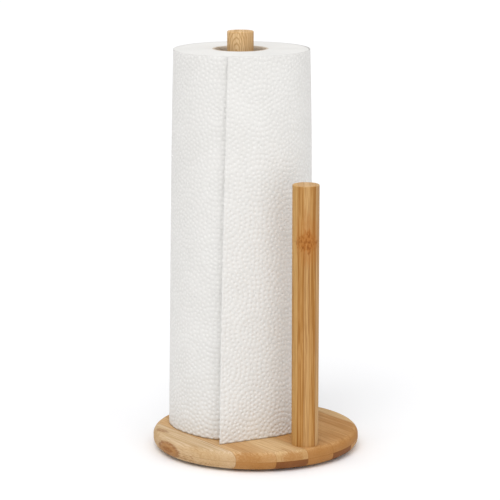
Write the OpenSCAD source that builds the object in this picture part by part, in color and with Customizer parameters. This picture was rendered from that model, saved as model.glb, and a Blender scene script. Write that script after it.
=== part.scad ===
// Paper towel holder: a round base glued up from bamboo staves in two plies,
// a bamboo post that carries the roll, a shorter bar to tear a sheet against,
// and a roll of perforated paper towel on its card core.
// Millimetres. +Z is up, the origin is on the table under the middle of the
// base, and both rods stand on the X axis, along which the staves' grain runs.

/* [Base] */
// Diameter of the round base
base_d = 152; // [146:1:180]
// Thickness of the base, both plies together
base_h = 13; // [12.5:0.5:18]
// Radius of the rounding along the upper edge
upper_round = 5; // [3:0.5:6]
// Radius of the rounding along the lower edge
lower_round = 6; // [3:0.5:6]
// Width of one stave
stave_w = 23.6; // [23:0.1:25]
// Y of the glue line between the third and the fourth stave
glue_line_y = -8; // [-9:0.1:-6.5]

/* [Feet] */
// Diameter of one foot pad
pad_d = 12; // [8:1:16]
// Thickness of one foot pad
pad_h = 1.5; // [1:0.1:3]
// Distance of the pads from the middle of the base
pad_circle_r = 60; // [50:1:61]

/* [Rods] */
// Diameter of the roll post and of the tear bar
rod_d = 19.4; // [16:0.1:20]
// X of the roll post
post_x = -19.2; // [-22:0.1:-16]
// X of the tear bar
bar_x = 60.7; // [60:0.1:61]
// Height of the top of the roll post above the table
post_top = 307; // [300:1:330]
// Height of the top of the tear bar above the table
bar_top = 205; // [120:0.5:260]
// Diameter of the turned tenon at the foot of a rod
tenon_d = 14; // [10:1:15]
// Length of that tenon, which the base takes in a round socket
tenon_len = 4; // [2:0.5:5]
// Width of the bevel around the top of a rod
rod_bevel = 0.5; // [0.4:0.1:2]

/* [Screws] */
// Diameter over the thread of the wood screws
screw_d = 4; // [3:0.5:5]
// Diameter of the countersunk screw head
screw_head_d = 8; // [7:0.5:9]
// Length of a wood screw, its head included
screw_len = 38; // [25:1:45]
// Depth of the screw head below the underside of the base
head_sink = 0.4; // [0.2:0.1:1]

/* [Paper roll] */
// Height of the roll and of its card core
roll_h = 279.4; // [260:0.1:290]
// Inner diameter of the card core
core_id = 37.8; // [36:0.1:45]
// Wall thickness of the card core
core_wall = 1.7; // [0.8:0.1:2.5]
// Diameter of the wound paper at the foot of the roll
log_foot_d = 103.2; // [90:0.2:104]
// Diameter of the wound paper at the top of the roll
log_top_d = 98.6; // [90:0.2:104]
// Sideways distance from the post to the middle of the wound paper
log_offset = 2; // [0:0.5:3]
// Direction of that offset, from +X towards +Y
log_offset_angle = -29; // [-180:1:180]
// Gap between the base and the foot of the roll
roll_gap = 0.3; // [0.2:0.05:1]

/* [First sheet] */
// Length of one sheet, from its torn edge to the next perforation
sheet_len = 259; // [200:1:280]
// Thickness of the embossed paper
sheet_t = 0.6; // [0.4:0.1:1]
// Gap between the first sheet and the wound paper below it
sheet_gap = 0.2; // [0.15:0.05:0.4]
// Length of the loose stretch at the foot of the roll
loose_foot = 42.4; // [0:0.1:43]
// Length of the loose stretch at the top of the roll
loose_top = 11; // [0:0.5:20]
// Angle at which the sheet leaves the roll at its foot, from +X towards +Y
leave_foot = -8.5; // [-40:0.5:0]
// Angle at which the sheet leaves the roll at its top
leave_top = -34.5; // [-60:0.5:0]

/* [Hidden] */
STAVES = 7;                 // in each ply
GLUED_BELOW = 3;            // staves of a ply on the -Y side of glue_line_y
TENON_CLEARANCE = 0.05;     // around a tenon in its socket
SCREW_CLEARANCE = 0.05;     // around a screw
CORE_CLEARANCE = 0.08;      // running gap between the card core and the wound paper
TIP_LEN = 6;                // pointed end of a screw
HEAD_RIM = 0.4;             // straight edge of a screw head
CROSS_LEN = 4.4;            // cross recess in a screw head
CROSS_W = 0.9;
CROSS_DEPTH = 1.6;
SHEET_STEPS = 48;           // facets of the first sheet along its length
SHEET_RINGS = 6;            // facets of the first sheet up its height
OVER = 1;                   // how far a cutter runs past what it cuts

base_r = base_d / 2;
base_top = pad_h + base_h;
ply_h = base_h / 2;
rod_r = rod_d / 2;
tenon_r = tenon_d / 2;
screw_r = screw_d / 2;
head_r = screw_head_d / 2;
screw_foot = pad_h + head_sink;
socket_z = base_top - tenon_len;
roll_z = base_top + roll_gap;
core_r = core_id / 2 + core_wall;
log_x = post_x + log_offset * cos(log_offset_angle);
log_y = log_offset * sin(log_offset_angle);

UPPER = [for (i = [1:STAVES]) str("base_upper_stave_", i)];
LOWER = [for (i = [1:STAVES]) str("base_lower_stave_", i)];
PADS = [for (i = [1:4]) str("foot_pad_", i)];
$fn = 96;

// Bamboo tones of the staves, from -Y to +Y
UPPER_TONES = ["wheat", "burlywood", "burlywood", "sandybrown", "sandybrown", "sandybrown", "burlywood"];
LOWER_TONES = ["wheat", "sandybrown", "sienna", "sandybrown", "sienna", "burlywood", "burlywood"];

// Half section of the base, with its two rounded edges
module base_section() {
    square([base_r - lower_round, base_h]);
    translate([0, lower_round]) square([base_r, base_h - lower_round - upper_round]);
    translate([0, lower_round]) square([base_r - upper_round, base_h - lower_round]);
    translate([base_r - lower_round, lower_round]) circle(lower_round);
    translate([base_r - upper_round, base_h - upper_round]) circle(upper_round);
}

// The space that one screw takes up in the wood, with room around it
module screw_hole(x) {
    translate([x, 0, pad_h - OVER])
        cylinder(r = head_r + SCREW_CLEARANCE, h = OVER + head_sink + HEAD_RIM);
    translate([x, 0, screw_foot + HEAD_RIM])
        cylinder(r1 = head_r + SCREW_CLEARANCE, r2 = screw_r + SCREW_CLEARANCE, h = head_r - screw_r);
    translate([x, 0, screw_foot])
        cylinder(r = screw_r + SCREW_CLEARANCE, h = screw_len + SCREW_CLEARANCE);
}

// The socket for a rod's tenon
module tenon_socket(x) {
    translate([x, 0, socket_z]) cylinder(r = tenon_r + TENON_CLEARANCE, h = tenon_len + OVER);
}

// Stave number i, counted from -Y, between the heights z0 and z1.
// The outermost staves run on past the rim.
module stave(i, z0, z1) {
    y0 = i == 1 ? -base_r - OVER : glue_line_y + (i - 1 - GLUED_BELOW) * stave_w;
    y1 = i == STAVES ? base_r + OVER : glue_line_y + (i - GLUED_BELOW) * stave_w;
    difference() {
        intersection() {
            translate([0, 0, pad_h]) rotate_extrude() base_section();
            translate([-base_r - OVER, y0, z0]) cube([base_d + 2 * OVER, y1 - y0, z1 - z0]);
        }
        for (x = [post_x, bar_x]) {
            if (y0 < tenon_r && y1 > -tenon_r) tenon_socket(x);
            if (y0 < head_r && y1 > -head_r) screw_hole(x);
        }
    }
}

module base_upper_stave(i) {
    color(UPPER_TONES[i - 1]) stave(i, pad_h + ply_h, base_top + OVER);
}

module base_lower_stave(i) {
    color(LOWER_TONES[i - 1]) stave(i, pad_h - OVER, pad_h + ply_h);
}

// A pad under the base, number i of 4
module foot_pad(i) {
    a = 45 + 90 * (i - 1);
    color("dimgray")
        translate([pad_circle_r * cos(a), pad_circle_r * sin(a), 0]) cylinder(d = pad_d, h = pad_h);
}

// A rod that stands on the base, with a tenon below it, a bevelled top and a
// hole for its screw
module rod(x, top) {
    difference() {
        union() {
            translate([x, 0, socket_z]) cylinder(r = tenon_r, h = tenon_len);
            translate([x, 0, base_top]) cylinder(r = rod_r, h = top - rod_bevel - base_top);
            translate([x, 0, top - rod_bevel]) cylinder(r1 = rod_r, r2 = rod_r - rod_bevel, h = rod_bevel);
        }
        screw_hole(x);
    }
}

module roll_post() {
    color("burlywood") rod(post_x, post_top);
}

module tear_bar() {
    color("sandybrown") rod(bar_x, bar_top);
}

// Countersunk wood screw with a cross recess, driven up from below
module wood_screw(x) {
    shank_len = screw_len - HEAD_RIM - (head_r - screw_r) - TIP_LEN;
    color("silver") translate([x, 0, screw_foot]) difference() {
        union() {
            cylinder(r = head_r, h = HEAD_RIM);
            translate([0, 0, HEAD_RIM]) cylinder(r1 = head_r, r2 = screw_r, h = head_r - screw_r);
            translate([0, 0, HEAD_RIM + head_r - screw_r]) cylinder(r = screw_r, h = shank_len);
            translate([0, 0, screw_len - TIP_LEN]) cylinder(r1 = screw_r, r2 = 0.2, h = TIP_LEN);
        }
        for (a = [0, 90]) rotate(a)
            translate([-CROSS_LEN / 2, -CROSS_W / 2, -OVER]) cube([CROSS_LEN, CROSS_W, OVER + CROSS_DEPTH]);
    }
}

module post_screw() {
    wood_screw(post_x);
}

module tear_bar_screw() {
    wood_screw(bar_x);
}

module core_tube() {
    color("rosybrown") translate([post_x, 0, roll_z]) difference() {
        cylinder(r = core_r, h = roll_h);
        translate([0, 0, -OVER]) cylinder(d = core_id, h = roll_h + 2 * OVER);
    }
}

// The wound paper under the first sheet: a little wider at its foot, and a
// little off the middle of its core, as a soft roll is
module paper_log() {
    color("white") difference() {
        translate([log_x, log_y, roll_z]) cylinder(d1 = log_foot_d, d2 = log_top_d, h = roll_h);
        translate([post_x, 0, roll_z - OVER])
            cylinder(r = core_r + CORE_CLEARANCE, h = roll_h + 2 * OVER);
    }
}

function mix(a, b, t) = a + (b - a) * t;

// A point of the first sheet: s from the torn edge, the fraction t up the
// height, and the distance out from the wound paper. Near the torn edge the
// sheet runs straight off the roll, along its tangent; beyond, it lies around it.
function sheet_point(s, t, out) =
    let (
        r = mix(log_foot_d, log_top_d, t) / 2 + out,
        loose = mix(loose_foot, loose_top, t),
        leave = mix(leave_foot, leave_top, t),
        a = leave + max(s - loose, 0) / r * 180 / PI,
        free = max(loose - s, 0)
    )
    [log_x + r * cos(a) + free * sin(a), log_y + r * sin(a) - free * cos(a), roll_z + t * roll_h];

// The torn outermost sheet of the roll, as one closed skin of even thickness
module first_sheet() {
    across = SHEET_RINGS + 1;
    side = (SHEET_STEPS + 1) * across;
    points = [
        for (out = [sheet_gap, sheet_gap + sheet_t])
            for (i = [0:SHEET_STEPS])
                for (j = [0:SHEET_RINGS])
                    sheet_point(sheet_len * i / SHEET_STEPS, j / SHEET_RINGS, out)
    ];
    inner = [
        for (i = [0:SHEET_STEPS - 1])
            for (j = [0:SHEET_RINGS - 1])
                let (p = i * across + j)
                    each [[p, p + across, p + 1], [p + 1, p + across, p + across + 1]]
    ];
    outer = [for (f = inner) [f[0] + side, f[2] + side, f[1] + side]];
    rims = [
        for (j = [0, SHEET_RINGS])
            for (i = [0:SHEET_STEPS - 1])
                let (p = i * across + j, q = p + across)
                    each (j == 0
                        ? [[p, p + side, q], [q, p + side, q + side]]
                        : [[p, q, p + side], [q, q + side, p + side]])
    ];
    ends = [
        for (i = [0, SHEET_STEPS])
            for (j = [0:SHEET_RINGS - 1])
                let (p = i * across + j, q = p + 1)
                    each (i == 0
                        ? [[p, q, p + side], [q, q + side, p + side]]
                        : [[p, p + side, q], [q, p + side, q + side]])
    ];
    color("whitesmoke") polyhedron(points = points, faces = concat(inner, outer, rims, ends), convexity = 4);
}

for (i = [1:STAVES]) {
    base_upper_stave(i);
    base_lower_stave(i);
}
for (i = [1:4]) {
    foot_pad(i);
}
roll_post();
tear_bar();
post_screw();
tear_bar_screw();
core_tube();
paper_log();
first_sheet();
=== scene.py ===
"""A bamboo paper towel holder with a roll of embossed towel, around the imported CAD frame."""
import math

import bmesh
import bpy
import numpy as np
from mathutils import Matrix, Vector


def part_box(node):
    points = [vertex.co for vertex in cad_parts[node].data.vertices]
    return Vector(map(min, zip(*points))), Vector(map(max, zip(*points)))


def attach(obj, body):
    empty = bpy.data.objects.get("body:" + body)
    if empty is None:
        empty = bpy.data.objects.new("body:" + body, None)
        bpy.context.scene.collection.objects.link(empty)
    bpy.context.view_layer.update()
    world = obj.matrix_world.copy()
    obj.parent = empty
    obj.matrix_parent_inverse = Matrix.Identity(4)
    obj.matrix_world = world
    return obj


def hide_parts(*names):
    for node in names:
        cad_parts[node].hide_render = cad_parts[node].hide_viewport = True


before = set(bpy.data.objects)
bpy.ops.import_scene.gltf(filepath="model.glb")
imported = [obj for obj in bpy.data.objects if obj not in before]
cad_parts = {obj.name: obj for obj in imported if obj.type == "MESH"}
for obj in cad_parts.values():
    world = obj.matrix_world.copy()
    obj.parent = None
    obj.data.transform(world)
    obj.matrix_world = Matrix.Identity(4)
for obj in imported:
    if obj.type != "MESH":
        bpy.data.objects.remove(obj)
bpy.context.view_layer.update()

MM = 0.001
DEG = math.pi / 180


# ---------------------------------------------------------------- the frame's own sizes
def box_mm(node):
    """A CAD node's lowest and highest corners, in millimetres."""
    low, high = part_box(node)
    return np.array(low) / MM, np.array(high) / MM


def centre_xy(node):
    """The middle of a node's box, seen from above, in millimetres."""
    low, high = box_mm(node)
    return (low[:2] + high[:2]) / 2


def radius(node):
    """Half of an upright round node's width, in millimetres."""
    low, high = box_mm(node)
    return (high[0] - low[0]) / 2


POST = centre_xy("roll_post")
BAR = centre_xy("tear_bar")
BASE_TOP = box_mm("base_upper_stave_4")[1][2]
GLUE_Z = box_mm("base_upper_stave_4")[0][2]
LOG = centre_xy("paper_log")
LOG_FOOT_R = radius("paper_log")
ROLL_Z0 = box_mm("paper_log")[0][2]
ROLL_Z1 = box_mm("paper_log")[1][2]
ROLL_H = ROLL_Z1 - ROLL_Z0
CORE_R = radius("core_tube")
BASE_R = box_mm("base_lower_stave_4")[1][0]


# ---------------------------------------------------------------- camera, floor and light
SENSOR = 36                                 # mm
LENS = 172.16                               # mm
CAMERA_AT = (1.3935, -1.0075, 0.4911)
CAMERA_TARGET = (-0.0053, -0.0014, 0.1470)
FRONT = (0.81, -0.59, 0.0)                  # from the holder towards the camera, level
FLOOR_COLOR = (0.97, 0.97, 0.98)
FLOOR_SIZE = 24                             # m


def look_at(obj, target):
    direction = Vector(target) - obj.location
    obj.rotation_euler = direction.to_track_quat("-Z", "Y").to_euler()


def add_camera():
    data = bpy.data.cameras.new("camera")
    data.sensor_width = SENSOR
    data.lens = LENS
    data.clip_end = 50
    camera = bpy.data.objects.new("camera", data)
    bpy.context.scene.collection.objects.link(camera)
    camera.location = CAMERA_AT
    look_at(camera, CAMERA_TARGET)
    bpy.context.scene.camera = camera


def add_softbox(name, place, spread, strength):
    """A far, broad lamp: its light comes from the direction of place, over the angle spread."""
    data = bpy.data.lights.new(name, "SUN")
    data.angle = spread
    data.energy = strength
    lamp = bpy.data.objects.new(name, data)
    bpy.context.scene.collection.objects.link(lamp)
    lamp.location = place
    look_at(lamp, (0, 0, 0))


def add_sky(horizon, zenith, front):
    """Light from all round, stronger from overhead than from the sides and, by front, stronger
    from the camera's side."""
    world = bpy.data.worlds.new("studio")
    bpy.context.scene.world = world
    world.use_nodes = True
    nodes, links = world.node_tree.nodes, world.node_tree.links
    way = nodes.new("ShaderNodeTexCoord")
    split = nodes.new("ShaderNodeSeparateXYZ")
    rise = nodes.new("ShaderNodeMapRange")
    rise.inputs["To Min"].default_value = horizon
    rise.inputs["To Max"].default_value = zenith
    nodes["Background"].inputs["Color"].default_value = (1.0, 1.0, 1.0, 1.0)
    links.new(way.outputs["Generated"], split.inputs[0])
    links.new(split.outputs["Z"], rise.inputs["Value"])
    toward = nodes.new("ShaderNodeVectorMath")
    toward.operation = "DOT_PRODUCT"
    toward.inputs[1].default_value = FRONT
    total = nodes.new("ShaderNodeMath")
    total.operation = "MULTIPLY_ADD"
    total.inputs[1].default_value = front
    links.new(way.outputs["Generated"], toward.inputs[0])
    links.new(toward.outputs["Value"], total.inputs[0])
    links.new(rise.outputs[0], total.inputs[2])
    links.new(total.outputs[0], nodes["Background"].inputs["Strength"])


def add_studio():
    bpy.context.scene.view_settings.view_transform = "Standard"
    add_sky(horizon=0.50, zenith=0.95, front=0.16)
    add_softbox("key", place=(0.90, -1.15, 2.20), spread=34 * DEG, strength=0.95)
    add_softbox("fill", place=(1.60, -0.10, 0.80), spread=80 * DEG, strength=0.35)
    bpy.ops.mesh.primitive_plane_add(size=FLOOR_SIZE, location=(0, 0, 0))
    floor = bpy.context.object
    floor.name = "floor"
    g = Graph("floor_paper")
    g.surface(color=FLOOR_COLOR, rough=0.9)
    floor.data.materials.append(g.material)


# ---------------------------------------------------------------- material graphs
class Graph:
    """A node material, built up by calls that take and return sockets or plain values."""

    def __init__(self, name):
        self.material = bpy.data.materials.new(name)
        self.material.use_nodes = True
        self.nodes = self.material.node_tree.nodes
        self.links = self.material.node_tree.links
        self.shader = self.nodes["Principled BSDF"]

    def feed(self, socket, value):
        """Links a socket to an input, or sets the input to a plain value."""
        if isinstance(value, bpy.types.NodeSocket):
            self.links.new(value, socket)
        elif value is not None:
            if socket.type == "RGBA" and len(value) == 3:
                value = (*value, 1.0)
            socket.default_value = value

    def node(self, kind, inputs=(), out=0, **settings):
        """Adds a node with its inputs fed and its settings made, and returns one output."""
        made = self.nodes.new(kind)
        for key, value in settings.items():
            setattr(made, key, value)
        for key, value in dict(inputs).items():
            self.feed(made.inputs[key], value)
        return made.outputs[out]

    def math(self, operation, a, b=None, c=None):
        inputs = {i: v for i, v in enumerate((a, b, c)) if v is not None}
        return self.node("ShaderNodeMath", inputs, operation=operation)

    def place(self, scale=(1, 1, 1), shift=(0, 0, 0)):
        """Object coordinates in metres, shifted and scaled."""
        at = self.node("ShaderNodeTexCoord", out="Object")
        moved = self.node("ShaderNodeVectorMath", {0: at, 1: shift}, operation="ADD")
        return self.node("ShaderNodeVectorMath", {0: moved, 1: scale}, operation="MULTIPLY")

    def axes(self, vector):
        split = self.nodes.new("ShaderNodeSeparateXYZ")
        self.links.new(vector, split.inputs[0])
        return split.outputs[0], split.outputs[1], split.outputs[2]

    def vector(self, x, y, z):
        return self.node("ShaderNodeCombineXYZ", {0: x, 1: y, 2: z})

    def noise(self, vector, scale=1.0, detail=3.0, rough=0.55):
        inputs = {"Vector": vector, "Scale": scale, "Detail": detail, "Roughness": rough}
        return self.node("ShaderNodeTexNoise", inputs, out="Fac")

    def step(self, value, low, high, to_low=0.0, to_high=1.0):
        """value between low and high, eased into the range to_low..to_high."""
        inputs = {"Value": value, "From Min": low, "From Max": high,
                  "To Min": to_low, "To Max": to_high}
        return self.node("ShaderNodeMapRange", inputs, interpolation_type="SMOOTHSTEP")

    def length(self, *parts):
        """How long the vector of these parts is."""
        inputs = {0: self.vector(*parts)}
        return self.node("ShaderNodeVectorMath", inputs, out="Value", operation="LENGTH")

    def mix(self, amount, a, b):
        made = self.nodes.new("ShaderNodeMix")
        made.data_type = "RGBA"
        self.feed(made.inputs["Factor"], amount)
        self.feed(made.inputs[6], a)
        self.feed(made.inputs[7], b)
        return made.outputs[2]

    def bump(self, height, distance, strength=1.0, normal=None):
        inputs = {"Height": height, "Distance": distance, "Strength": strength, "Normal": normal}
        return self.node("ShaderNodeBump", inputs)

    def surface(self, color=None, rough=None, normal=None, **others):
        self.feed(self.shader.inputs["Base Color"], color)
        self.feed(self.shader.inputs["Roughness"], rough)
        self.feed(self.shader.inputs["Normal"], normal)
        for key, value in others.items():
            self.feed(self.shader.inputs[key.replace("_", " ")], value)


# ---------------------------------------------------------------- bamboo
# The patterns in the wood: how many of each to a millimetre, along the fibres and across them
WANDER = (0.010, 0.05)       # whole bundles drifting aside
BROAD = (0.006, 0.10)        # light and dark zones
STREAK = (0.016, 0.75)
LINES = (0.009, 0.95)        # long crisp lines
HAIR = (0.030, 1.6)          # the finest lines
BUNDLES = (0.030, 0.85)      # dots of the fibre bundles, seen in a cut end
MOTTLE = (0.35, 0.9)         # a coarse grain inside a knot
GLUE_WEAR = (0.02, 0.3)
ARCH_WOBBLE = (0.12, 0.35)
ARCH_SLIM = 0.34             # an arch's width over its height
DRIFT = 3.0                  # mm that the fibres wander sideways
GLUE_LINE = 0.32             # mm, half the width of a glue line between laminations
# Multiples of a piece's dark or light tone
FIBRE = (0.74, 0.64, 0.50)
PALE_LINE = (1.08, 1.12, 1.20)
PALE_HAIR = (1.12, 1.18, 1.28)
# Painted shade: the base's rounded rim turns away from the light overhead, so it is darkened
PAINTED_RIM_SHADE = (0.86, 0.78, 0.66)
STRIP_GLUE = (0.62, 0.50, 0.36)
STAVE_GLUE = (0.55, 0.42, 0.28)
END_GRAIN = (0.5, (0.7, 0.6, 0.5))      # how far a cut takes it, and to which multiple
BAMBOO_SPECULAR = 0.16


def scaled(color, factors):
    return tuple(c * k for c, k in zip(color, factors))


class Bamboo:
    """Bamboo whose pattern fills space: a cut along the fibres shows streaks and a cut across them
    shows the dots of the fibre bundles. Sizes are in millimetres."""

    def __init__(self, name, light, dark, centre=None, facing=0.0, shift=(0, 0, 0),
                 end=END_GRAIN, lines=0.30):
        """centre is the axis of an upright rod, whose laminations are stacked along facing; without
        it the fibres run along X, as in the base. end says how far the colour of a cut across the
        fibres goes to that multiple of dark, and lines how strong the long lines are."""
        self.g = g = Graph(name)
        self.dark = dark
        self.fibre = scaled(dark, FIBRE)
        self.shift = shift
        x, y, z = g.axes(g.place(scale=(1 / MM, 1 / MM, 1 / MM)))
        if centre is None:
            self.along, self.across, self.depth = x, y, z
        else:
            x = g.math("SUBTRACT", x, centre[0])
            y = g.math("SUBTRACT", y, centre[1])
            c, s = math.cos(facing), math.sin(facing)
            self.along = z
            self.across = g.math("ADD", g.math("MULTIPLY", x, c), g.math("MULTIPLY", y, s))
            self.depth = g.math("SUBTRACT", g.math("MULTIPLY", y, c), g.math("MULTIPLY", x, s))
        wander = self.pattern(*WANDER, detail=1)
        self.drift = g.math("MULTIPLY", g.math("SUBTRACT", wander, 0.5), DRIFT)
        self.streak = self.pattern(*STREAK, drift=True, detail=3, rough=0.60)
        self.bundle = self.fibre_bundles()
        self.lines = self.pattern(*LINES, drift=True, detail=3, rough=0.7)
        self.draw_grain(light, lines)
        self.shade_cuts(upright=centre is not None, end=end)

    def fibre_bundles(self):
        """1 in the middle of a bundle, 0 between them."""
        g = self.g
        inputs = {"Vector": self.coordinates(*BUNDLES, drift=True), "Scale": 1.0, "Randomness": 0.8}
        cells = g.node("ShaderNodeTexVoronoi", inputs, out="Distance")
        return g.step(cells, 0.14, 0.42, 1.0, 0.0)

    def draw_grain(self, light, lines):
        """The colour of the plain wood: zones, bundles, then lines and hairs of both shades."""
        g = self.g
        broad = self.pattern(*BROAD, drift=True, detail=2)
        hair = self.pattern(*HAIR, drift=True, detail=2)
        tone = g.math("ADD", g.math("MULTIPLY", broad, 0.55), g.math("MULTIPLY", self.streak, 0.45))
        self.color = g.mix(g.step(tone, 0.38, 0.62), self.dark, light)
        self.blend(self.bundle, 0.34, self.fibre)
        self.blend(g.step(self.lines, 0.53, 0.60), lines, self.fibre)
        self.blend(g.step(self.lines, 0.45, 0.38), lines, scaled(light, PALE_LINE))
        self.blend(g.step(hair, 0.54, 0.64), 0.50, self.fibre)
        self.blend(g.step(hair, 0.46, 0.36), 0.42, scaled(light, PALE_HAIR))

    def shade_cuts(self, upright, end):
        """The duller colour of the end grain and, on the base, painted shade on its rounded rim."""
        g = self.g
        normal = g.axes(g.node("ShaderNodeNewGeometry", out="Normal"))
        cut = g.step(g.math("ABSOLUTE", normal[2 if upright else 0]), 0.35, 0.95)
        self.blend(cut, end[0], scaled(self.dark, end[1]))
        if not upright:
            # Painted shade: the rim, where the surface turns from upward to sideways, is darkened
            rim = g.step(g.math("ABSOLUTE", normal[2]), 0.97, 0.55)
            self.blend(rim, 0.50, scaled(self.dark, PAINTED_RIM_SHADE))

    def coordinates(self, along, across, drift=False):
        """Pattern coordinates, with that many units to a millimetre along and across the fibres."""
        g = self.g
        a, b = self.across, self.depth
        if drift:
            a = g.math("ADD", a, self.drift)
            b = g.math("ADD", b, self.drift)
        return g.vector(g.math("MULTIPLY_ADD", self.along, along, self.shift[0]),
                        g.math("MULTIPLY_ADD", a, across, self.shift[1]),
                        g.math("MULTIPLY_ADD", b, across, self.shift[2]))

    def pattern(self, along, across, drift=False, detail=3.0, rough=0.55):
        coordinates = self.coordinates(along, across, drift)
        return self.g.noise(coordinates, detail=detail, rough=rough)

    def blend(self, mask, amount, color):
        """Lays a colour over the wood where mask is 1, by amount."""
        self.color = self.g.mix(self.g.math("MULTIPLY", mask, amount), self.color, color)

    def strips(self, width, offset, shades):
        """Upright laminations of one width, each with its own shade and a fine glue line between."""
        g = self.g
        place = g.math("MULTIPLY_ADD", self.across, 1 / width, offset)
        for index, (amount, shade) in shades.items():
            mine = g.math("COMPARE", g.math("FLOOR", place), index, 0.2)
            self.blend(mine, amount, shade)
        edge = g.math("ABSOLUTE", g.math("SUBTRACT", g.math("FRACT", place), 0.5))
        line = g.step(edge, 0.5 - GLUE_LINE / width, 0.5)
        worn = g.step(self.pattern(*GLUE_WEAR), 0.35, 0.6, 0.25, 1.0)
        self.blend(g.math("MULTIPLY", line, worn), 0.75, scaled(self.dark, STRIP_GLUE))

    def seam(self, coordinate, at, width=0.35, amount=0.55):
        """A glue line on the plane where one coordinate has the value at."""
        g = self.g
        gap = g.math("ABSOLUTE", g.math("SUBTRACT", coordinate, at))
        self.blend(g.step(gap, 0.0, width, 1.0, 0.0), amount, scaled(self.dark, STAVE_GLUE))

    def knot(self, at, size, amount, color, ragged=0.9, dotted=False, soft=0.43,
             worn=(0.3, 0.6, 0.55)):
        """A darker spot: an ellipsoid at (along, across, depth) with ragged ends along the fibres.
        worn says between which values of a coarse grain it fades, and to how much."""
        g = self.g
        torn = g.math("SUBTRACT", g.math("ADD", self.streak, self.lines), 1.0)
        rough_edge = g.math("MULTIPLY", torn, ragged)
        parts = []
        for coordinate, middle, half in zip((self.along, self.across, self.depth), at, size):
            parts.append(g.math("MULTIPLY", g.math("SUBTRACT", coordinate, middle), 1 / half))
        reach = g.math("ADD", g.length(*parts), rough_edge)
        mask = g.step(reach, 1.05 - soft, 1.05, 1.0, 0.0)
        if dotted:
            mask = g.math("MULTIPLY", mask, self.bundle)
        else:
            low, high, least = worn
            mask = g.math("MULTIPLY", mask, g.step(self.pattern(*MOTTLE), low, high, least, 1.0))
        self.blend(mask, amount, color)

    def arches(self, across, along, pitch, reach, amount):
        """Pointed arches of grain around one place, as where a flat cut meets a growth layer."""
        g = self.g
        a = g.math("SUBTRACT", g.math("ADD", self.across, self.drift), across)
        b = g.math("MULTIPLY", g.math("SUBTRACT", self.along, along), ARCH_SLIM)
        away = g.length(a, b, 0.0)
        wobble = g.math("MULTIPLY", self.pattern(*ARCH_WOBBLE), pitch * 1.6)
        wave = g.math("SINE", g.math("MULTIPLY", g.math("ADD", away, wobble), 2 * math.pi / pitch))
        fade = g.step(away, reach * 0.5, reach, 1.0, 0.0)
        mask = g.math("MULTIPLY", g.step(wave, 0.1, 0.95), fade)
        self.blend(mask, amount, self.fibre)

    def finish(self):
        g = self.g
        ridges = g.math("MULTIPLY", self.streak, 0.6)
        pores = g.math("MULTIPLY", self.bundle, 0.4)
        relief = g.bump(g.math("SUBTRACT", ridges, pores), 0.00010, 0.5)
        gloss = g.step(self.streak, 0.3, 0.7, 0.58, 0.72)
        g.surface(color=self.color, rough=gloss, normal=relief, Specular_IOR_Level=BAMBOO_SPECULAR)
        return g.material


# Light and dark tone of each kind of strip
TONES = {
    "pale": ((0.70, 0.53, 0.345), (0.56, 0.38, 0.20)),
    "tan": ((0.68, 0.47, 0.25), (0.55, 0.34, 0.15)),
    "honey": ((0.66, 0.44, 0.23), (0.53, 0.30, 0.12)),
    "amber": ((0.56, 0.315, 0.125), (0.44, 0.215, 0.065)),
    "brown": ((0.34, 0.15, 0.050), (0.24, 0.095, 0.030)),
    "bar": ((0.56, 0.320, 0.115), (0.37, 0.165, 0.034)),
    "post": ((0.80, 0.57, 0.32), (0.66, 0.42, 0.19)),
}
# Tones of the staves in each ply, from -Y to +Y
UPPER_TONES = ["pale", "honey", "tan", "amber", "amber", "amber", "tan"]
LOWER_TONES = ["pale", "amber", "brown", "amber", "brown", "honey", "tan"]
KNOT = (0.27, 0.105, 0.028)
KNOT_INNER = (0.44, 0.22, 0.075)
AMBER_STAIN = (0.38, 0.17, 0.045)
NODE_BAND = (0.40, 0.14, 0.022)
NODE_SPECK = (0.24, 0.075, 0.010)
YELLOW, DEEP, GREY = (0.52, 0.30, 0.095), (0.40, 0.18, 0.040), (0.50, 0.32, 0.16)
FACING = 54 * DEG              # across the laminations of both rods
NODE_HEIGHT = 165              # mm, on the tear bar
ARCH_HEIGHT = 292              # mm, on the post above the roll


def dress(node, material):
    """Gives a CAD node its material."""
    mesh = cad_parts[node].data
    mesh.materials.clear()
    mesh.materials.append(material)
    for polygon in mesh.polygons:
        polygon.material_index = 0


def mark_front_stave(wood, middle):
    """The marks of the stave nearest the camera: a ringed knot on the rim, a smaller one on the
    top, and dots of cut fibre bundles low on the rim."""
    wood.knot(middle, (16, 18, 6.2), 0.85, KNOT, ragged=0.4, soft=0.2)
    wood.knot(middle, (12, 18, 4.6), 0.75, KNOT_INNER, ragged=0.4, soft=0.2)
    wood.knot(middle, (8, 18, 2.6), 0.80, KNOT, ragged=0.6, soft=0.3)
    wood.knot((-30, -BASE_R + 12, BASE_TOP), (9, 3.0, 4.0), 0.60, KNOT, ragged=1.2)
    wood.knot((22, -BASE_R + 6, 4.5), (30, 18, 4.0), 0.80, KNOT, dotted=True)


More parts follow.
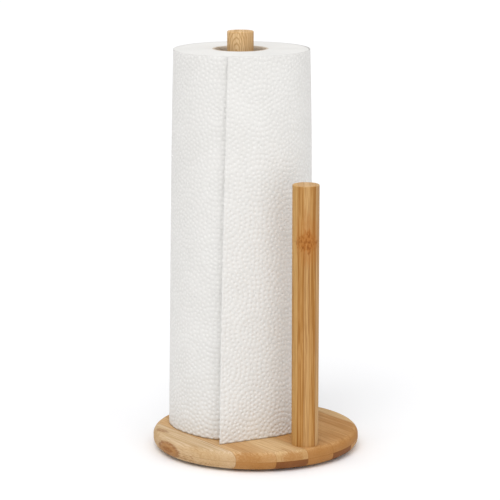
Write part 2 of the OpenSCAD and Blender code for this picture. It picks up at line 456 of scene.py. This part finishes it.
def dress_base():
    for ply, tones in (("upper", UPPER_TONES), ("lower", LOWER_TONES)):
        for i, tone in enumerate(tones, 1):
            node = f"base_{ply}_stave_{i}"
            low, high = box_mm(node)
            light, dark = TONES[tone]
            # Each stave shows another place in the pattern
            shift = (3.7 * i + (8.1 if ply == "lower" else 0.0), 1.3 * i, 0.0)
            wood = Bamboo(f"bamboo_{ply}_{i}", light, dark, shift=shift)
            for y in (low[1], high[1]):
                if abs(y) < BASE_R - 1:
                    wood.seam(wood.across, y)
            wood.seam(wood.depth, GLUE_Z, 0.45, 0.30 if ply == "lower" else 0.45)
            if i == 1:
                mark_front_stave(wood, (-5.0, -BASE_R, GLUE_Z - 1.0 if ply == "upper" else GLUE_Z))
            if ply == "upper" and i in (2, 3):
                rim_x = math.sqrt(BASE_R ** 2 - low[1] ** 2)
                stain = (rim_x, low[1] + 5 * i - 3, BASE_TOP - 5)
                wood.knot(stain, (30, 9, 6), 0.75, AMBER_STAIN, ragged=1.2)
            dress(node, wood.finish())


def add_growth_node(wood, height):
    """The band where the cane had a joint: a warm stain, its fading ends, a thin line and specks."""
    wood.knot((height, 1.0, -9.0), (9.5, 8.6, 9.0), 0.88, NODE_BAND, ragged=0.9, soft=0.5)
    wood.knot((height - 5, 1.2, -9.0), (15, 8.0, 9.0), 0.45, NODE_BAND, ragged=2.0)
    wood.knot((height + 9, 1.2, -9.0), (13, 9.0, 9.0), 0.40, NODE_BAND, ragged=2.0)
    wood.knot((height, 1.0, -9.0), (1.0, 14, 9.0), 0.35, NODE_SPECK, ragged=2.8)
    wood.knot((height - 1, 0.6, -9.0), (9, 8.8, 9.0), 0.75, NODE_SPECK, ragged=1.6,
              worn=(0.50, 0.58, 0.0))


def dress_tear_bar():
    # The bar's cut top is much paler than its sides: partly the end grain's own paler tone, partly a
    # painted highlight for the top lit from above
    wood = Bamboo("bamboo_bar", *TONES["bar"], BAR, FACING, shift=(2.0, 5.0, 0.0),
                  end=(0.75, (1.9, 2.9, 7.5)), lines=0.75)
    wood.strips(4.2, 0.35, {-2: (0.4, YELLOW), -1: (0.35, DEEP), 0: (0.2, GREY),
                            1: (0.3, DEEP), 2: (0.5, GREY)})
    add_growth_node(wood, NODE_HEIGHT)
    dress("tear_bar", wood.finish())


def dress_post():
    wood = Bamboo("bamboo_post", *TONES["post"], POST, FACING, shift=(7.0, 1.0, 0.0),
                  end=(0.3, (1.2, 1.3, 1.6)))
    wood.strips(6.5, 0.5, {-2: (0.2, DEEP), 1: (0.25, DEEP)})
    wood.arches(-3.0, ARCH_HEIGHT, pitch=1.5, reach=14, amount=0.7)
    dress("roll_post", wood.finish())


# ---------------------------------------------------------------- the towel's embossing
COLUMN = 25.0       # mm between columns of medallions, around the roll
PERIOD = 53.8       # mm between medallions up a column
# Radii in mm of the dotted rings around a medallion; the wider step is at its edge
RINGS = [0.01, 3.4, 6.4, 9.3, 13.6, 17.2, 20.8, 24.4, 28.0]
DOT_PITCH = 3.4     # mm between dots along a ring
DOT_SIGMA = 0.66    # mm, how broad a dot is
DOT_DEPTH = 0.34    # mm
PATTERN_MAP = "towel"      # the UV map that holds mm around and up the towel


def emboss(u, v):
    """Height of the towel's surface in mm at u around and v up, both in mm: dots pressed in along
    rings around medallions that stand in staggered columns."""
    best = np.full(u.shape, np.inf)
    du = np.zeros_like(u)
    dv = np.zeros_like(u)
    column = np.round(u / COLUMN)
    for k in (-1, 0, 1):
        c = column + k
        start = np.mod(c, 2) * PERIOD / 2
        row = np.round((v - start) / PERIOD)
        for m in (-1, 0, 1):
            x = u - c * COLUMN
            y = v - start - (row + m) * PERIOD
            away = np.hypot(x, y)
            near = away < best
            best = np.where(near, away, best)
            du = np.where(near, x, du)
            dv = np.where(near, y, dv)
    angle = np.arctan2(dv, du)
    dent = np.zeros_like(u)
    for n, ring in enumerate(RINGS):
        count = max(1, round(2 * math.pi * ring / DOT_PITCH))
        turn = angle * count / (2 * math.pi) + 0.5 * (n % 2)
        along = (turn - np.round(turn)) * 2 * math.pi * ring / count
        distance2 = (best - ring) ** 2 + along ** 2
        dent = np.maximum(dent, np.exp(-distance2 / (2 * DOT_SIGMA ** 2)))
    return -DOT_DEPTH * dent


def emboss_nodes(g):
    """The same dots as nodes, from 0 to 1, for the crisp edges that a 1 mm mesh can't hold."""
    u, v, _ = g.axes(g.node("ShaderNodeUVMap", uv_map=PATTERN_MAP))
    half = PERIOD / 2

    def to_medallion(shift_u, shift_v):
        x = g.math("WRAP", g.math("SUBTRACT", u, shift_u), COLUMN, -COLUMN)
        y = g.math("WRAP", g.math("SUBTRACT", v, shift_v), half, -half)
        return x, y, g.length(x, y, 0.0)

    first, second = to_medallion(0.0, 0.0), to_medallion(COLUMN, half)
    nearer = g.math("LESS_THAN", first[2], second[2])
    x, y, away = (g.math("MULTIPLY_ADD", nearer, g.math("SUBTRACT", a, b), b)
                  for a, b in zip(first, second))
    ring, order = RINGS[0], 0.0
    for inner, outer in zip(RINGS, RINGS[1:]):
        beyond = g.math("GREATER_THAN", away, (inner + outer) / 2)
        ring = g.math("MULTIPLY_ADD", beyond, outer - inner, ring)
        order = g.math("ADD", beyond, order)
    dots = g.math("ROUND", g.math("MULTIPLY", ring, 2 * math.pi / DOT_PITCH))
    count = g.math("MAXIMUM", 1.0, dots)
    turn = g.math("MULTIPLY", g.math("ARCTAN2", y, x), count)
    turn = g.math("MULTIPLY", turn, 1 / (2 * math.pi))
    turn = g.math("MULTIPLY_ADD", order, 0.5, turn)
    part = g.math("SUBTRACT", turn, g.math("ROUND", turn))
    along = g.math("MULTIPLY", g.math("MULTIPLY", part, ring), 2 * math.pi)
    along = g.math("DIVIDE", along, count)
    across = g.math("SUBTRACT", away, ring)
    distance2 = g.math("ADD", g.math("MULTIPLY", along, along), g.math("MULTIPLY", across, across))
    return g.math("EXPONENT", g.math("MULTIPLY", distance2, -1 / (2 * DOT_SIGMA ** 2)))


def soft_noise(u, v, seed, scale, octaves=2):
    """Smooth noise of about -1 to 1 from sums of sines, the same each run."""
    rng = np.random.default_rng(seed)
    total = np.zeros(np.broadcast(u, v).shape)
    for octave in range(octaves):
        for _ in range(6):
            a, phase = rng.uniform(0, 2 * math.pi, 2)
            k = 2 * math.pi / (scale * rng.uniform(0.7, 1.4)) * 2 ** octave
            total += np.sin(k * (u * math.cos(a) + v * math.sin(a)) + phase) / 2 ** octave
    return total / 6


# ---------------------------------------------------------------- meshes from grids of points
def grid_faces(rows, columns, start=0, wrap_rows=False, wrap_columns=False):
    """Quads over a grid of points numbered row by row."""
    r = np.arange(rows if wrap_rows else rows - 1)
    c = np.arange(columns if wrap_columns else columns - 1)
    r0, c0 = np.meshgrid(r, c, indexing="ij")
    r1, c1 = (r0 + 1) % rows, (c0 + 1) % columns
    corners = [r0 * columns + c0, r0 * columns + c1, r1 * columns + c1, r1 * columns + c0]
    quads = np.stack(corners, axis=-1)
    return quads.reshape(-1, 4) + start


def ring_points(centre, r, angle, z):
    """Points at the height z around an upright axis, all in mm; r and z may vary around it."""
    x = centre[0] + r * np.cos(angle)
    y = centre[1] + r * np.sin(angle)
    return np.stack([x, y, z + 0 * angle], axis=-1)


def mesh_object(name, points_mm, faces, material, smooth=True, pattern=None):
    """A mesh with one material; pattern gives each point's place on the towel, in mm around and
    up."""
    mesh = bpy.data.meshes.new(name)
    points = (np.asarray(points_mm, float) * MM).tolist()
    mesh.from_pydata(points, [], [list(map(int, f)) for f in faces])
    mesh.validate()
    if pattern is not None:
        corners = np.empty(len(mesh.loops), dtype=np.int32)
        mesh.loops.foreach_get("vertex_index", corners)
        layer = mesh.uv_layers.new(name=PATTERN_MAP)
        layer.data.foreach_set("uv", np.asarray(pattern, np.float32)[corners].ravel())
    bm = bmesh.new()
    bm.from_mesh(mesh)
    bmesh.ops.recalc_face_normals(bm, faces=bm.faces)
    bm.to_mesh(mesh)
    bm.free()
    for polygon in mesh.polygons:
        polygon.use_smooth = smooth
    obj = bpy.data.objects.new(name, mesh)
    bpy.context.scene.collection.objects.link(obj)
    mesh.materials.append(material)
    return obj


# ---------------------------------------------------------------- the roll
# The first sheet as the CAD has it, in mm and degrees: cut length, thickness, room under it, how
# much of it hangs loose and the angle where it leaves the roll, at its foot and at its top
SHEET_LEN = 259.0
SHEET_T = 0.6
SHEET_GAP = 0.2
LOOSE_FOOT, LOOSE_TOP = 42.4, 11.0
LEAVE_FOOT, LEAVE_TOP = -8.5, -34.5
# The roll's softness
TAPER = 2.5            # mm that it is narrower at its top
SIDE = np.array([math.cos(FACING), math.sin(FACING)])
SLUMP = 2.3            # mm that its foot has slid to the side
SLUMP_MEAN = 0.77      # mm, its mean, taken off so that the roll stays on the CAD's axis
BULGE = 3.2            # mm that the layer behind the loose sheet stands out at the foot
BULGE_AT, BULGE_WIDTH = -53 * DEG, 19 * DEG
# The perforation: uncut ties of this width at this pitch, in mm
PERF_TIE, PERF_PITCH = 3.2, 9.0
# The first sheet's relief, in mm
RIPPLE = 0.35          # height of the waves in its loose part
RIPPLE_FADE = 20       # over which they die out towards the roll
TORN = 0.12            # depth of the notches in its torn edge
TORN_REACH = 1.2       # over which the notches die out
FLAT_EDGE = 4          # over which the dots rise from the torn edge
BACK_OUT = 0.18        # from the room under it to its back face
BACK_RELIEF = 0.6      # of the front's dots that the back shows
# Colours of the paper
PULP_DARK, PULP_LIGHT = (0.705, 0.694, 0.669), (0.753, 0.742, 0.719)
# Painted highlight: the pressed dots are made lighter, for their glint and against the shade in their
# hollows
DOT_PAINTED_HIGHLIGHT = (0.86, 0.85, 0.83)
DOT_RELIEF = 0.00036   # metres


def roll_radius(t):
    """The wound paper's radius at the fraction t up the roll."""
    return LOG_FOOT_R - TAPER * t ** 3


def roll_centre(t):
    """The middle of the wound paper at the fraction t up the roll, as x and y."""
    aside = SLUMP_MEAN - SLUMP * (1 - t) ** 2
    return LOG[0] + aside * SIDE[0], LOG[1] + aside * SIDE[1]


def loose_length(t):
    """How much of the first sheet hangs off the roll."""
    return LOOSE_FOOT + (LOOSE_TOP - LOOSE_FOOT) * t


def leave_angle(t):
    """Where the first sheet leaves the roll, around it."""
    return (LEAVE_FOOT + (LEAVE_TOP - LEAVE_FOOT) * t) * DEG


def sheet_points(s, t, out):
    """Points of the first sheet: s mm from its torn edge, the fraction t up the roll, out mm off
    the wound paper. It runs straight off the roll near the torn edge and lies around it beyond."""
    r = roll_radius(t) + out
    loose = loose_length(t)
    angle = leave_angle(t) + np.maximum(s - loose, 0) / (r - out + SHEET_GAP)
    free = np.maximum(loose - s, 0)
    middle_x, middle_y = roll_centre(t)
    x = middle_x + r * np.cos(angle) + free * np.sin(angle)
    y = middle_y + r * np.sin(angle) - free * np.cos(angle)
    z = ROLL_Z0 + t * ROLL_H + 0 * x
    return np.stack([x, y, z], axis=-1)


def paper_material():
    g = Graph("towel")
    pulp = g.noise(g.place(), 900, 4, 0.6)
    cloud = g.noise(g.place(), 45, 2)
    shade = g.math("ADD", g.math("MULTIPLY", pulp, 0.6), g.math("MULTIPLY", cloud, 0.4))
    color = g.mix(g.step(shade, 0.35, 0.65), PULP_DARK, PULP_LIGHT)
    crepe = g.noise(g.place(scale=(1500, 1500, 450)), 1.0, 3, 0.6)
    dots = emboss_nodes(g)
    # Painted highlight: lightens the pressed dots, against the shade in their hollows
    color = g.mix(g.math("MULTIPLY", dots, 0.55), color, DOT_PAINTED_HIGHLIGHT)
    fibres = g.bump(g.math("ADD", pulp, crepe), 0.00010, 0.7)
    relief = g.bump(g.math("SUBTRACT", 1.0, dots), DOT_RELIEF, 1.0, fibres)
    g.surface(color=color, rough=0.95, normal=relief, Sheen_Weight=0.2, Specular_IOR_Level=0.12)
    return g.material


def make_first_sheet(material):
    """The torn sheet as a thin closed skin: an embossed front and a back at half the detail,
    joined at the rims."""
    s = np.linspace(0, SHEET_LEN, int(SHEET_LEN / 2) * 2 + 1)
    t = np.linspace(0, 1, int(ROLL_H / 2) * 2 + 1)
    ss, tt = np.meshgrid(s, t, indexing="ij")
    up = tt * ROLL_H
    height = emboss(ss, up) * np.clip(ss / FLAT_EDGE, 0.1, 1)
    loose = np.clip((loose_length(tt) - ss) / RIPPLE_FADE, 0, 1)
    ripple = loose * RIPPLE * soft_noise(ss, up, 11, 60)
    torn = np.exp(-ss / TORN_REACH) * TORN * np.sign(np.sin(2 * math.pi * up / PERF_PITCH))
    front = sheet_points(ss + torn, tt, SHEET_GAP + SHEET_T + height + ripple)
    relief = height[::2, ::2] * BACK_RELIEF + ripple[::2, ::2]
    back = sheet_points((ss + torn)[::2, ::2], tt[::2, ::2], SHEET_GAP + BACK_OUT + relief)
    rows, columns = ss.shape
    points = np.concatenate([front.reshape(-1, 3), back.reshape(-1, 3)])
    pattern = np.stack([ss, up], axis=-1)
    pattern = np.concatenate([pattern.reshape(-1, 2), pattern[::2, ::2].reshape(-1, 2)])
    faces = grid_faces(rows, columns).tolist()
    half_rows, half_columns = back.shape[:2]
    first_back = rows * columns
    faces += grid_faces(half_rows, half_columns, first_back)[:, ::-1].tolist()

    def front_id(i, j):
        return i * columns + j

    def back_id(i, j):
        return first_back + (i // 2) * half_columns + j // 2

    def stitch(path):
        for a, b, c in zip(path[:-2:2], path[1:-1:2], path[2::2]):
            fa, fb, fc = front_id(*a), front_id(*b), front_id(*c)
            ba, bc = back_id(*a), back_id(*c)
            faces.append([fa, fb, ba])
            faces.append([fb, bc, ba])
            faces.append([fb, fc, bc])

    stitch([(i, 0) for i in range(rows)])
    stitch([(i, columns - 1) for i in range(rows)])
    stitch([(0, j) for j in range(columns)])
    stitch([(rows - 1, j) for j in range(columns)])
    sheet = mesh_object("first_towel_sheet", points, faces, material, pattern=pattern)
    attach(sheet, "roll")
    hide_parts("first_sheet")


def perforation_angle(t):
    """Where the first sheet ends, around the roll."""
    return leave_angle(t) + (SHEET_LEN - loose_length(t)) / (roll_radius(t) + SHEET_GAP)


def make_ties(material):
    """The uncut ties of the perforation, small blocks from the first sheet to the next."""
    points = []
    faces = []
    for k in range(int(ROLL_H / PERF_PITCH)):
        middle = (k + 0.5) * PERF_PITCH
        first = len(points)
        for along_s in (SHEET_LEN - 0.6, SHEET_LEN + 1.6):
            for out in (SHEET_GAP + 0.20, SHEET_GAP + 0.45):
                for side in (-PERF_TIE / 2, PERF_TIE / 2):
                    drop = SHEET_GAP * (along_s > SHEET_LEN)
                    t = np.array((middle + side) / ROLL_H)
                    points.append(sheet_points(np.array(along_s), t, out - drop).tolist())
        quads = ((0, 1, 3, 2), (4, 6, 7, 5), (0, 4, 5, 1), (2, 3, 7, 6), (0, 2, 6, 4), (1, 5, 7, 3))
        faces += [[first + q for q in quad] for quad in quads]
    off_pattern = np.zeros((len(points), 2))
    ties = mesh_object("perforation_ties", points, faces, material, smooth=False,
                       pattern=off_pattern)
    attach(ties, "roll")


WOUND_TURNS = 46           # spiral ridges drawn on an end face
LOG_ROOM = 0.08            # mm between the paper and the card core
TOP_RIDGE, FOOT_RIDGE = 0.26, 0.2      # mm, heights of the spiral ridges
END_WAVE = 0.25            # mm that an end face waves near the core
END_SINK = 0.12            # mm that it lies inside the roll's height
RIM_SOFT = 0.15            # mm taken off the top rim, over RIM_REACH mm
RIM_REACH = 1.5


def skin_radius(angle, t):
    """The next sheet's surface: level with the first where that ends, and standing out a little
    behind its loose edge."""
    last = 2 * math.pi + leave_angle(t)
    start = perforation_angle(t)
    lies_open = np.where(angle < last, np.clip((last - angle) / (last - start), 0, 1), 0.0)
    off_bulge = (angle - 2 * math.pi - BULGE_AT) / BULGE_WIDTH
    bulge = BULGE * (1 - t) ** 0.8 * np.exp(-off_bulge ** 2)
    edge = RIM_SOFT * max(0.0, 1 - (1 - t) * ROLL_H / RIM_REACH) ** 2
    return roll_radius(t) + lies_open * (SHEET_T + SHEET_GAP) + bulge - edge - 0.05


def end_face(angle, t, z, ridge_height, outward, count, seed):
    """Rings of points over an end of the wound paper, from the bore to its skin, rising and
    falling with the wound layers."""
    bore = CORE_R + LOG_ROOM
    middle = roll_centre(t)
    outer = skin_radius(angle, t)
    rings = []
    for k in range(1, count):
        f = k / count
        centre = [POST[i] + (middle[i] - POST[i]) * f for i in (0, 1)]
        r = bore + (outer - bore) * f
        phase = np.mod(f * WOUND_TURNS - angle / (2 * math.pi), 1.0)
        ridge = ridge_height * (np.abs(phase - 0.5) * 2 - 0.5)
        wave = END_WAVE * (1 - f) * soft_noise(r * np.cos(angle), r * np.sin(angle), seed, 24)
        rings.append(ring_points(centre, r, angle, z + outward * (ridge + wave - END_SINK)))
    return rings


def make_log(material):
    """The wound paper: its bore, its wound end faces and its embossed skin, as one closed
    surface. Its mesh is coarser where the first sheet covers it."""
    perf_foot = float(perforation_angle(0.0))
    fine_from, fine_to = perf_foot - 6 * DEG, 2 * math.pi - 6 * DEG
    fine = np.arange(fine_from, fine_to, 1.0 / LOG_FOOT_R)
    coarse = np.linspace(fine_to, fine_from + 2 * math.pi, 84)[:-1]
    angle = np.concatenate([fine, coarse])
    bore = CORE_R + LOG_ROOM
    rows = [ring_points(POST, bore, angle, ROLL_Z0 + t * ROLL_H) for t in np.linspace(0.0, 1.0, 12)]
    rows += end_face(angle, 1.0, ROLL_Z1, TOP_RIDGE, 1, 3 * WOUND_TURNS, 3)
    first_skin_row = len(rows)
    around = (angle - perf_foot) * LOG_FOOT_R + SHEET_LEN
    down = np.linspace(0, 1, int(ROLL_H) + 1)[::-1]
    for t in down:
        dents = np.where(angle < fine_to, emboss(around, 0 * angle + t * ROLL_H), 0.0)
        r = skin_radius(angle, t) + dents
        rows.append(ring_points(roll_centre(t), r, angle, ROLL_Z0 + t * ROLL_H))
    rows += end_face(angle, 0.0, ROLL_Z0, FOOT_RIDGE, -1, 60, 5)[::-1]
    points = np.stack(rows)
    pattern = np.zeros(points.shape[:2] + (2,))
    for row, t in enumerate(down, first_skin_row):
        pattern[row, :, 0] = around
        pattern[row, :, 1] = t * ROLL_H
    faces = grid_faces(points.shape[0], points.shape[1], wrap_rows=True, wrap_columns=True)
    log = mesh_object("wound_towel", points.reshape(-1, 3), faces, material,
                      pattern=pattern.reshape(-1, 2))
    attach(log, "roll")
    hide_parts("paper_log")


# ---------------------------------------------------------------- card core, pads and screws
CORE_WALL = 1.7            # mm
WINDING_PITCH = 58.0       # mm that the card strip climbs in one turn
SEAM_HALF = 0.02           # of a turn
SEAM_DEPTH = 0.22          # mm
CARD_EDGE = 0.25           # mm, bevel on the tube's ends
CARD_DARK, CARD_LIGHT = (0.62, 0.55, 0.46), (0.72, 0.65, 0.56)
CARD_FLECK, CARD_SEAM = (0.48, 0.40, 0.31), (0.42, 0.34, 0.26)
RUBBER_DARK, RUBBER_LIGHT = (0.045, 0.044, 0.043), (0.075, 0.073, 0.070)
STEEL_DARK, STEEL_LIGHT = (0.56, 0.55, 0.53), (0.68, 0.67, 0.65)
PAD_EDGE = 0.4             # mm, rounding of a pad's rim
PAD_AXIS = 0.02            # mm, radius of the pinhole where a turned pad closes
GRIP_RINGS = (4.6, 3.2, 1.8)       # mm, radii of the grooves under a pad
GRIP_DEPTH = 0.22


def lathe(name, profile, centre, material, segments=72):
    """A closed profile of (radius, height) in mm, turned around an upright axis."""
    angle = np.arange(segments) * 2 * math.pi / segments
    rows = [ring_points(centre, r, angle, z) for r, z in profile]
    faces = grid_faces(len(profile), segments, wrap_rows=True, wrap_columns=True)
    return mesh_object(name, np.stack(rows).reshape(-1, 3), faces, material)


def card_material():
    g = Graph("core_card")
    on_post = (-POST[0] * MM, -POST[1] * MM, 0)
    x, y, z = g.axes(g.place(scale=(1 / MM, 1 / MM, 1 / MM), shift=on_post))
    turn = g.math("MULTIPLY", g.math("ARCTAN2", y, x), 1 / (2 * math.pi))
    climb = g.math("FRACT", g.math("SUBTRACT", g.math("MULTIPLY", z, 1 / WINDING_PITCH), turn))
    gap = g.math("ABSOLUTE", g.math("SUBTRACT", climb, 0.5))
    seam = g.step(gap, 0.0, SEAM_HALF, 1.0, 0.0)
    flecks = g.noise(g.place(scale=(1600, 1600, 700)), 1.0, 4, 0.6)
    tone = g.noise(g.place(), 70, 3)
    color = g.mix(g.step(tone, 0.3, 0.7), CARD_DARK, CARD_LIGHT)
    color = g.mix(g.math("MULTIPLY", g.step(flecks, 0.58, 0.75), 0.5), color, CARD_FLECK)
    color = g.mix(g.math("MULTIPLY", seam, 0.6), color, CARD_SEAM)
    g.surface(color=color, rough=0.9, normal=g.bump(flecks, 0.00012, 0.6), Specular_IOR_Level=0.15)
    return g.material


def make_core():
    """The card tube, with the step of its wound strip showing as a spiral inside and out."""
    segments, levels = 144, 180
    angle = np.arange(segments) * 2 * math.pi / segments

    def wall(r, into_card, heights):
        """Rings up or down one face; into_card is 1 where a larger radius is deeper in the card,
        and -1 where a smaller one is."""
        rings = []
        for z in heights:
            climb = np.mod(z / WINDING_PITCH - angle / (2 * math.pi), 1.0)
            groove = SEAM_DEPTH * np.exp(-((climb - 0.5) / SEAM_HALF) ** 2)
            rings.append(ring_points(POST, r + into_card * groove, angle, z))
        return rings

    outer_r, inner_r = CORE_R, CORE_R - CORE_WALL
    low, high = ROLL_Z0, ROLL_Z1
    up = np.linspace(low + CARD_EDGE, high - CARD_EDGE, levels)
    down = np.linspace(high - CARD_EDGE, low + CARD_EDGE, levels)
    rows = wall(outer_r - CARD_EDGE, -1, [low]) + wall(outer_r, -1, up)
    rows += wall(outer_r - CARD_EDGE, -1, [high]) + wall(inner_r + CARD_EDGE, 1, [high])
    rows += wall(inner_r, 1, down) + wall(inner_r + CARD_EDGE, 1, [low])
    faces = grid_faces(len(rows), segments, wrap_rows=True, wrap_columns=True)
    points = np.stack(rows).reshape(-1, 3)
    core = mesh_object("card_core", points, faces, card_material())
    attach(core, "core")
    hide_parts("core_tube")


def rubber_material():
    g = Graph("pad_rubber")
    grit = g.noise(g.place(), 2600, 3, 0.6)
    cloud = g.noise(g.place(), 180, 2)
    color = g.mix(g.step(cloud, 0.3, 0.7), RUBBER_DARK, RUBBER_LIGHT)
    rough = g.step(grit, 0.3, 0.7, 0.70, 0.92)
    g.surface(color=color, rough=rough, normal=g.bump(grit, 0.00008, 0.7))
    return g.material


def make_pads():
    """Soft rubber pads with a rounded rim and three shallow grip rings underneath."""
    material = rubber_material()
    for i in range(1, 5):
        node = f"foot_pad_{i}"
        low, high = box_mm(node)
        r, h = radius(node), high[2]
        profile = [(PAD_AXIS, h), (r - 0.1, h)]
        for a in np.linspace(0, 90 * DEG, 6):
            profile.append((r - PAD_EDGE + PAD_EDGE * math.cos(a), PAD_EDGE - PAD_EDGE * math.sin(a)))
        for ring_r in GRIP_RINGS:
            profile += [(ring_r + 0.35, 0.0), (ring_r + 0.2, GRIP_DEPTH)]
            profile += [(ring_r - 0.2, GRIP_DEPTH), (ring_r - 0.35, 0.0)]
        profile.append((PAD_AXIS, 0.0))
        pad = lathe(f"rubber_pad_{i}", profile, (low[:2] + high[:2]) / 2, material)
        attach(pad, "holder")
        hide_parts(node)


def steel_material():
    g = Graph("screw_steel")
    brushed = g.noise(g.place(scale=(900, 900, 6000)), 1.0, 3, 0.6)
    tarnish = g.noise(g.place(), 420, 3)
    color = g.mix(g.step(tarnish, 0.35, 0.7), STEEL_DARK, STEEL_LIGHT)
    rough = g.step(brushed, 0.3, 0.7, 0.26, 0.42)
    g.surface(color=color, rough=rough, normal=g.bump(brushed, 0.00004, 0.5), Metallic=1.0)
    return g.material


def dress_screws():
    material = steel_material()
    for node in ("post_screw", "tear_bar_screw"):
        dress(node, material)


# ---------------------------------------------------------------- build
add_camera()
add_studio()
dress_base()
dress_tear_bar()
dress_post()
dress_screws()
make_pads()
make_core()
towel = paper_material()
make_log(towel)
make_first_sheet(towel)
make_ties(towel)
